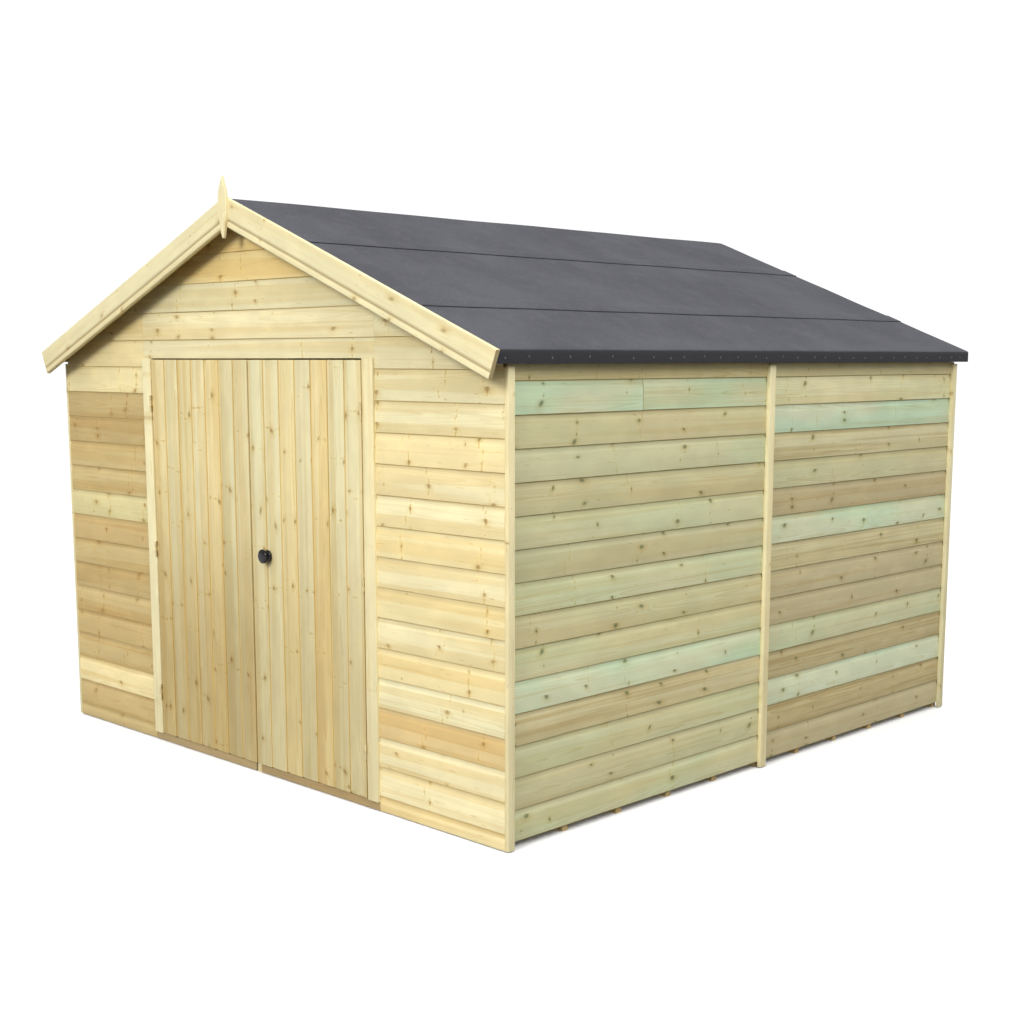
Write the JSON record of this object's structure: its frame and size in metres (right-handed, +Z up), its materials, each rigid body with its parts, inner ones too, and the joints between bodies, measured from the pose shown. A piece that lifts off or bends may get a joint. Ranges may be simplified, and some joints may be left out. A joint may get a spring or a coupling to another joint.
{
  "type": "garden shed",
  "caption": "Timber apex garden shed with horizontal board walls, hinged double doors in the front gable and a felted pitched roof.",
  "frame": {"origin": "on the ground under the middle of the floor, at the underside of the floor's joining strip", "axes": "+Z up; the double doors face -Y; +X to the right when looking at the doors"},
  "size_m": [3.116, 3.342, 2.499],
  "materials": {
    "front_cladding": "planed softwood, pale honey yellow, knotty",
    "side_cladding": "planed softwood with a green preservative tint",
    "door_boarding": "planed softwood, pale honey yellow, knotty",
    "trim_timber": "planed softwood, pale",
    "framing_timber": "sawn softwood",
    "floor_boarding": "planed softwood",
    "roof_boarding": "sawn softwood",
    "roofing_felt": "matt mineral-faced bitumen felt",
    "hinge_metal": "zinc plated",
    "knob_black": "gloss black"
  },
  "bodies": {
    "shed": {"floor_joists": "framing_timber", "floor_joining_strip": "framing_timber", "floor_boards_left": "floor_boarding", "floor_boards_right": "floor_boarding", "door_sill": "trim_timber", "front_wall_left": "front_cladding", "front_wall_right": "front_cladding", "over_door_panel": "front_cladding", "front_gable": "front_cladding", "door_trim_left": "trim_timber", "door_trim_right": "trim_timber", "side_wall_left_front": "side_cladding", "side_wall_left_rear": "side_cladding", "side_wall_right_front": "side_cladding", "side_wall_right_rear": "side_cladding", "rear_wall": "side_cladding", "rear_gable": "side_cladding", "corner_battens_front": "trim_timber", "corner_battens_rear": "trim_timber", "joint_battens": "trim_timber", "front_frame": "framing_timber", "side_frame_left": "framing_timber", "side_frame_right": "framing_timber", "rear_frame": "framing_timber", "roof_timbers": "framing_timber", "eaves_strips": "framing_timber", "roof_boards_left": "roof_boarding", "roof_boards_right": "roof_boarding", "felt_eaves_left": "roofing_felt", "felt_eaves_right": "roofing_felt", "felt_middle_left": "roofing_felt", "felt_middle_right": "roofing_felt", "felt_ridge": "roofing_felt", "bargeboard_front_left": "trim_timber", "bargeboard_front_right": "trim_timber", "bargeboards_rear": "trim_timber", "finial": "trim_timber", "frame_hinges": "hinge_metal"},
    "left_door": {"left_door_boards": "door_boarding", "left_door_ledges": "framing_timber", "left_door_hinges": "hinge_metal"},
    "right_door": {"right_door_boards": "door_boarding", "right_door_ledges": "framing_timber", "right_door_hinges": "hinge_metal"},
    "knob": {"door_knob": "knob_black"}
  },
  "joints": [
    {"name": "left_door_hinge", "type": "hinge", "parent": "shed", "child": "left_door", "pos_m": [-0.739, -1.6, 0.9], "axis": [0, 0, -1], "range_deg": [0, 165]},
    {"name": "right_door_hinge", "type": "hinge", "parent": "shed", "child": "right_door", "pos_m": [0.739, -1.6, 0.9], "axis": [0, 0, 1], "range_deg": [0, 165]},
    {"name": "knob_turn", "type": "hinge", "parent": "right_door", "child": "knob", "pos_m": [0.12, -1.595, 0.957], "axis": [0, -1, 0], "range_deg": [-60, 60]}
  ]
}
